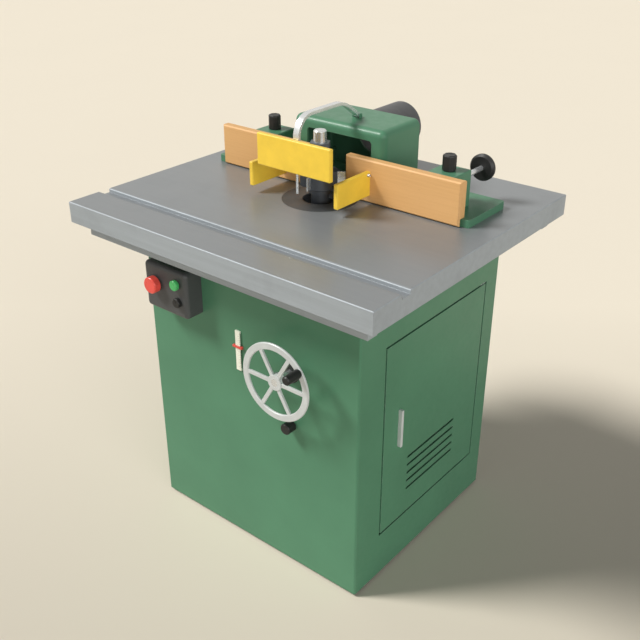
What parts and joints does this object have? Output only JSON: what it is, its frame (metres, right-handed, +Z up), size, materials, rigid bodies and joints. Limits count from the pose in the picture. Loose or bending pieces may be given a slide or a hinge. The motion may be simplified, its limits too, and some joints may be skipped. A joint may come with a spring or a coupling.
{
  "type": "spindle moulder",
  "caption": "Floor-standing spindle moulder: iron table on a sheet cabinet, raised cutter spindle, split wooden fence with dust hood, swing-up guard, handwheel and side door.",
  "frame": {"origin": "on the floor under the spindle axis, on the plinth's lower face", "axes": "+Z up along the spindle; +X to the operator's right, along the mitre slot; +Y from the operator to the dust outlet"},
  "size_m": [0.865, 0.765, 1.0605],
  "materials": {
    "green_paint": "satin",
    "dark_paint": "satin",
    "table_iron": "ground",
    "ring_steel": "satin",
    "bright_steel": "polished",
    "silver": "satin",
    "dark_steel": "satin",
    "black_plastic": "matte",
    "box_plastic": "matte",
    "grey_plastic": "matte",
    "yellow_guard": "satin",
    "fence_wood": "satin",
    "red_plastic": "gloss",
    "green_plastic": "gloss",
    "scale_white": "satin",
    "bronze": "turned",
    "inner_iron": "as cast",
    "motor_paint": "satin",
    "rotor_steel": "turned",
    "belt_rubber": "matte"
  },
  "bodies": {
    "frame": {"plinth": "dark_paint", "cabinet": "green_paint", "table": "table_iron", "table_ring": "ring_steel", "table_rails": "table_iron", "table_bolts": "bright_steel", "switch_box": "box_plastic", "height_scale": "scale_white", "shaft_bush": "dark_paint", "gear_arm": "inner_iron", "column_head": "inner_iron", "guide_columns": "bright_steel", "door_hinges": "bright_steel", "cable_gland": "black_plastic", "fence_base": "green_paint", "hood": "green_paint", "hood_screws": "bright_steel", "dust_port": "grey_plastic", "left_bracket": "green_paint", "guard_hinge": "green_paint"},
    "left_fence": {"left_board": "fence_wood", "left_side_guard": "yellow_guard", "left_board_bolts": "bright_steel"},
    "right_slide": {"right_bracket": "green_paint"},
    "right_fence": {"right_board": "fence_wood", "right_side_guard": "yellow_guard", "right_board_bolts": "bright_steel"},
    "left_clamp": {"left_clamp_knob": "black_plastic"},
    "right_clamp": {"right_clamp_knob": "black_plastic"},
    "fence_screw": {"adjuster_screw": "bright_steel", "adjuster_knob": "black_plastic"},
    "lift": {"carriage": "inner_iron", "spindle_bearings": "bright_steel", "motor_plate": "motor_paint", "motor": "motor_paint", "raising_nut": "bronze", "drive_belt": "belt_rubber", "scale_cursor": "red_plastic"},
    "spindle": {"spindle_shaft": "bright_steel", "spindle_pulley": "inner_iron", "cutter_block": "dark_steel", "cutter_knives": "bright_steel", "spindle_collars": "dark_steel", "spindle_nut": "dark_steel"},
    "rotor": {"motor_rotor": "rotor_steel", "motor_pulley": "inner_iron"},
    "screw": {"lead_screw": "bright_steel", "screw_gear": "bright_steel"},
    "wheel": {"handwheel": "silver", "handwheel_shaft": "bright_steel"},
    "wheel_grip": {"handwheel_grip": "black_plastic"},
    "lock": {"lock_knob": "black_plastic"},
    "side_door": {"door": "green_paint", "door_handle": "silver"},
    "stop": {"stop_button": "red_plastic"},
    "start": {"start_button": "green_plastic"},
    "selector": {"selector_knob": "black_plastic"},
    "arm": {"guard_arm": "bright_steel"},
    "guard": {"guard_plate": "yellow_guard"}
  },
  "joints": [
    {"name": "carriage_lift", "type": "slide", "parent": "frame", "child": "lift", "axis": [0, 0, 1], "range_m": [-0.03, 0.03]},
    {"name": "handwheel_turn", "type": "hinge", "parent": "frame", "child": "wheel", "pos_m": [0.133, -0.3155, 0.553], "axis": [0, 1, 0], "range_deg": [-1801, 1801]},
    {"name": "screw_turn", "type": "hinge", "parent": "frame", "child": "screw", "pos_m": [0.133, -0.06, 0.553], "axis": [0, 0, 1], "range_deg": [-1801, 1801]},
    {"name": "grip_spin", "type": "hinge", "parent": "wheel", "child": "wheel_grip", "pos_m": [0.20193, -0.3155, 0.60401], "axis": [0, 1, 0], "continuous": true},
    {"name": "spindle_spin", "type": "hinge", "parent": "lift", "child": "spindle", "pos_m": [0, 0, 0.85], "axis": [0, 0, 1], "continuous": true},
    {"name": "motor_spin", "type": "hinge", "parent": "lift", "child": "rotor", "pos_m": [0, 0.205, 0.64], "axis": [0, 0, 1], "continuous": true},
    {"name": "lock_turn", "type": "hinge", "parent": "frame", "child": "lock", "pos_m": [0.133, -0.2745, 0.414], "axis": [0, 1, 0], "range_deg": [0, 180]},
    {"name": "stop_press", "type": "slide", "parent": "frame", "child": "stop", "axis": [0, 1, 0], "range_m": [0, 0.004], "stiffness_N_per_m": 800, "springref_m": -0.002},
    {"name": "start_press", "type": "slide", "parent": "frame", "child": "start", "axis": [0, 1, 0], "range_m": [0, 0.003], "stiffness_N_per_m": 600, "springref_m": -0.002},
    {"name": "selector_turn", "type": "hinge", "parent": "frame", "child": "selector", "pos_m": [-0.164, -0.3115, 0.6485], "axis": [0, 1, 0], "range_deg": [-45, 45]},
    {"name": "door_swing", "type": "hinge", "parent": "frame", "child": "side_door", "pos_m": [0.31, 0.2333, 0.3836], "axis": [0, 0, 1], "range_deg": [0, 110]},
    {"name": "left_fence_slide", "type": "slide", "parent": "frame", "child": "left_fence", "axis": [-1, 0, 0], "range_m": [0, 0.04]},
    {"name": "right_bracket_slide", "type": "slide", "parent": "frame", "child": "right_slide", "axis": [0, 1, 0], "range_m": [0, 0.004]},
    {"name": "right_fence_slide", "type": "slide", "parent": "right_slide", "child": "right_fence", "axis": [1, 0, 0], "range_m": [0, 0.04]},
    {"name": "adjuster_turn", "type": "hinge", "parent": "right_slide", "child": "fence_screw", "pos_m": [0.298, 0.15, 0.931], "axis": [0, 1, 0], "range_deg": [-1, 721]},
    {"name": "left_clamp_turn", "type": "hinge", "parent": "frame", "child": "left_clamp", "pos_m": [-0.226, 0.1, 0.96], "axis": [0, 0, 1], "range_deg": [0, 180]},
    {"name": "right_clamp_turn", "type": "hinge", "parent": "frame", "child": "right_clamp", "pos_m": [0.279, 0.1, 0.96], "axis": [0, 0, 1], "range_deg": [0, 180]},
    {"name": "guard_swing", "type": "hinge", "parent": "frame", "child": "arm", "pos_m": [0, 0.138, 1.016], "axis": [-1, 0, 0], "range_deg": [0, 90]},
    {"name": "guard_slide", "type": "slide", "parent": "arm", "child": "guard", "axis": [0, 0, 1], "range_m": [-0.04, 0.004]}
  ],
  "couplings": [
    {"joint": "handwheel_turn", "follows": "carriage_lift", "rad_per_m": 1047.2},
    {"joint": "screw_turn", "follows": "carriage_lift", "rad_per_m": -1047.2},
    {"joint": "motor_spin", "follows": "spindle_spin", "ratio": 0.68404},
    {"joint": "adjuster_turn", "follows": "right_bracket_slide", "rad_per_m": 3141.6}
  ]
}
